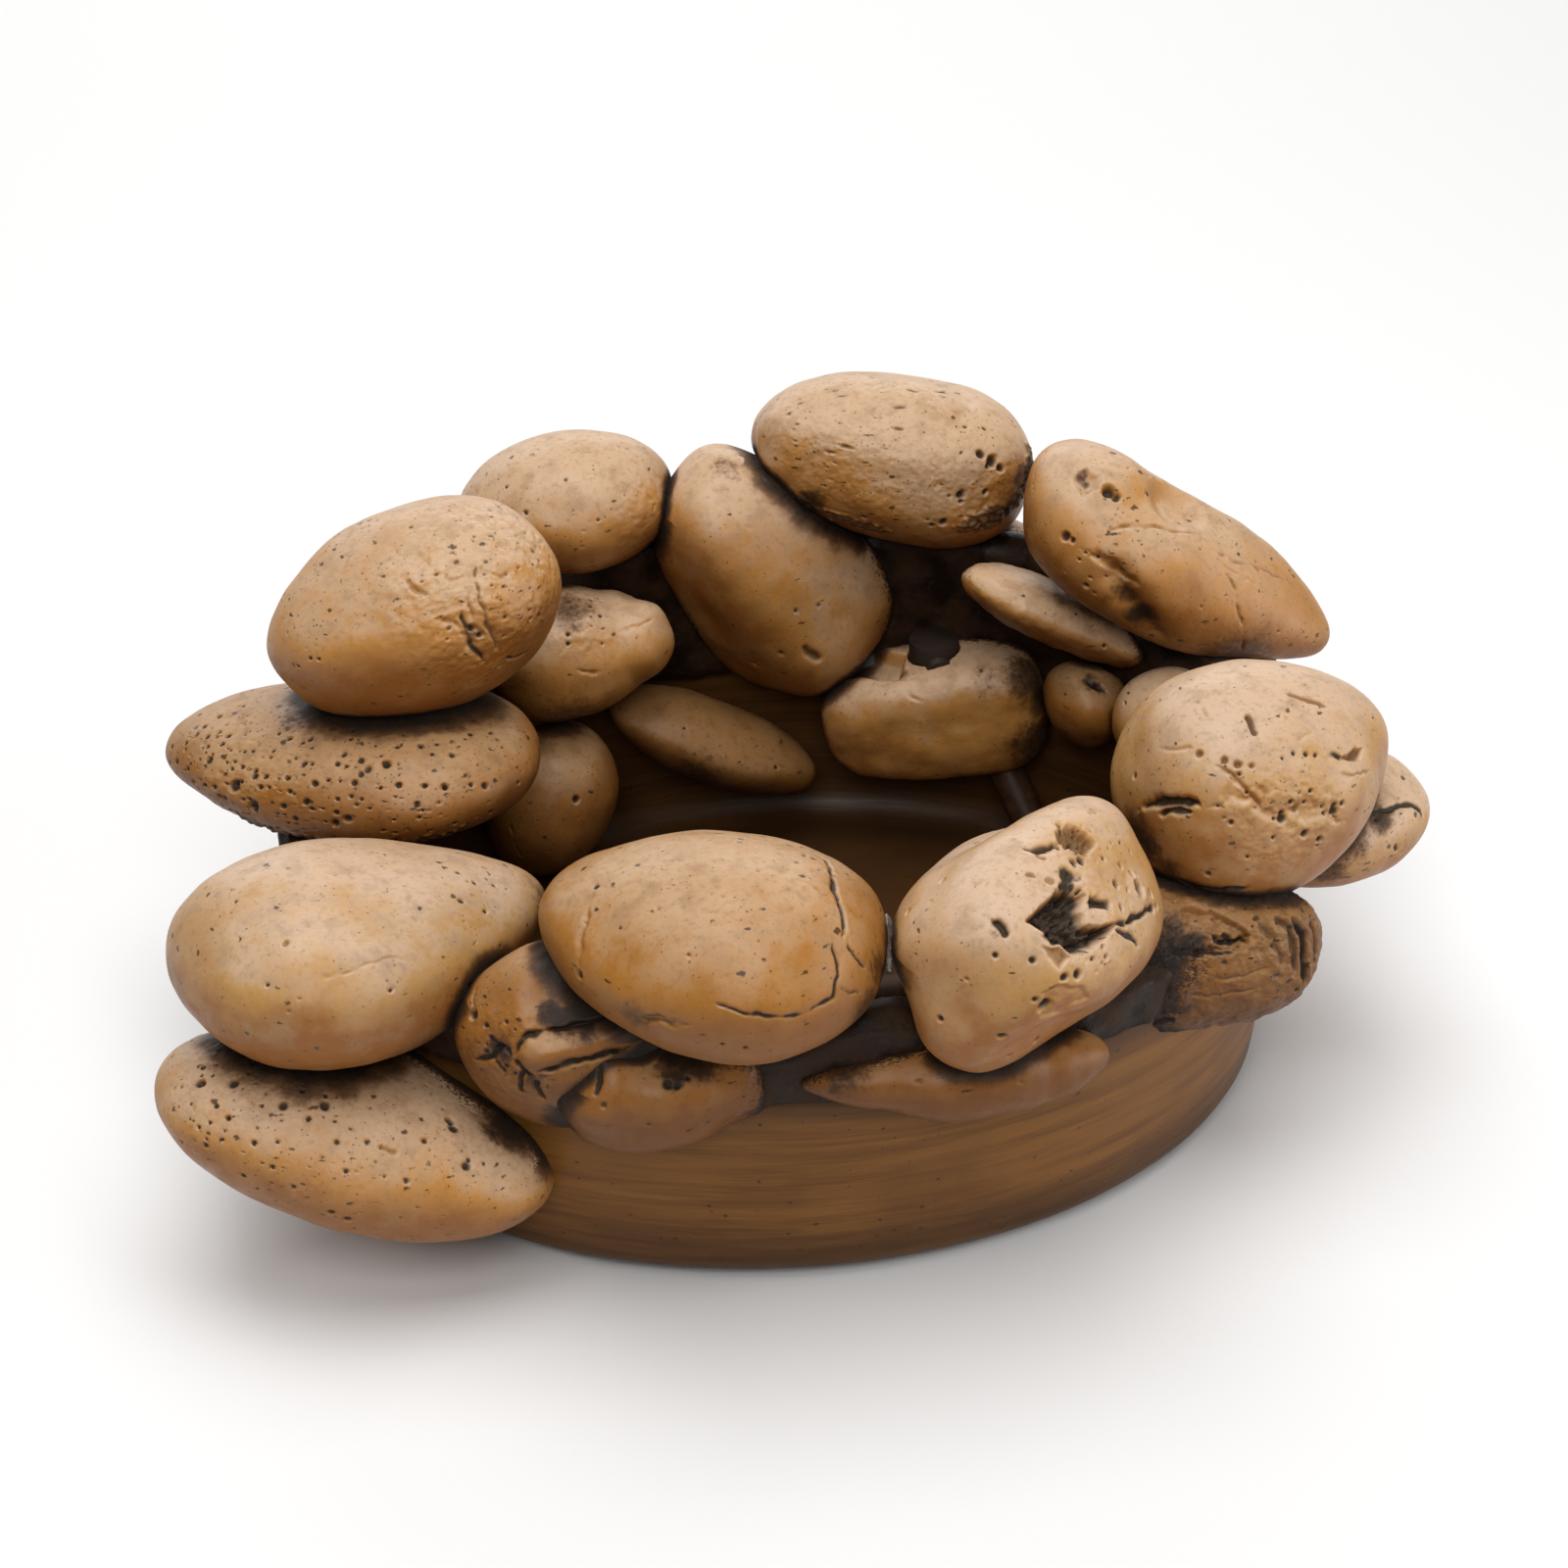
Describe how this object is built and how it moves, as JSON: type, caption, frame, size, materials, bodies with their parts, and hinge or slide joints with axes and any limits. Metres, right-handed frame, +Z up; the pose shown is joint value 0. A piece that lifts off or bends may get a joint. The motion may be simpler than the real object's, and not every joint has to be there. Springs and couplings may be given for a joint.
{
  "type": "tabletop water fountain",
  "caption": "Tabletop water fountain: an oval resin basin with a rising wall of river stones round its rim, a submersible pump in the pool and a riser tube to a spout at the back.",
  "frame": {"origin": "centre of the foot pad's underside, on the table", "axes": "+Z up; +X to the right along the basin's length, seen from the low front of the stone wall; +Y towards its high back, where the spout is"},
  "size_m": [0.2924, 0.2351, 0.1298],
  "materials": {
    "river_stone": "cast resin, painted as worn ochre river stone with a dark patina in the pits and joints",
    "basin_resin": "cast resin, satin brown with fine level brush marks",
    "mortar": "rough dark mortar",
    "pad_foam": "black foam sheet",
    "pump_plastic": "black moulded plastic",
    "rotor_plastic": "dark grey moulded plastic and bonded magnet",
    "gate_plastic": "grey moulded plastic",
    "shaft_ceramic": "ground ceramic",
    "rubber": "black rubber",
    "sponge": "open-cell filter foam",
    "tube_vinyl": "black vinyl tube, formed to its bends"
  },
  "bodies": {
    "fountain": {"foot_pad": "pad_foam", "basin": "basin_resin", "mortar_wall": "mortar", "stone_front_oval": "river_stone", "stone_front_pitted": "river_stone", "stone_right_fissured": "river_stone", "stone_right_back_saddle": "river_stone", "stone_back_crown": "river_stone", "stone_back_left_cap": "river_stone", "stone_left_top": "river_stone", "stone_left_front_broad": "river_stone", "stone_left_flat": "river_stone", "stone_left_foot": "river_stone", "stone_front_left_cracked": "river_stone", "stone_front_left_wedge": "river_stone", "stone_front_low_ledge": "river_stone", "stone_right_log": "river_stone", "stone_right_outer": "river_stone", "stone_back_outer_right": "river_stone", "stone_back_outer_middle": "river_stone", "stone_back_outer_left": "river_stone", "stone_right_back_outer": "river_stone", "stone_back_tall": "river_stone", "stone_inner_wedge": "river_stone", "stone_inner_round": "river_stone", "stone_inner_sloping": "river_stone", "stone_inner_spill": "river_stone", "stone_inner_slab": "river_stone", "stone_inner_small": "river_stone", "stone_inner_pebble": "river_stone", "pump_motor_block": "pump_plastic", "pump_volute": "pump_plastic", "pump_shaft": "shaft_ceramic", "pump_bush_rear": "rubber", "pump_bush_front": "rubber", "pump_cord_gland": "rubber", "pump_suction_cup_1": "rubber", "pump_suction_cup_2": "rubber", "pump_suction_cup_3": "rubber", "pump_suction_cup_4": "rubber", "riser_tube": "tube_vinyl", "water_spout": "pump_plastic"},
    "rotor": {"pump_impeller": "rotor_plastic"},
    "intake": {"pump_intake_cover": "pump_plastic", "pump_filter_sponge": "sponge"},
    "gate": {"pump_flow_gate": "gate_plastic"}
  },
  "joints": [
    {"name": "rotor_spin", "type": "hinge", "parent": "fountain", "child": "rotor", "pos_m": [-0.014, -0.05, 0.0303], "axis": [0, 1, 0], "continuous": true},
    {"name": "intake_pull_off", "type": "slide", "parent": "fountain", "child": "intake", "axis": [0, 1, 0], "range_m": [0, 0.035]},
    {"name": "flow_gate_slide", "type": "slide", "parent": "intake", "child": "gate", "axis": [1, 0, 0], "range_m": [-0.008, 0.008]}
  ]
}
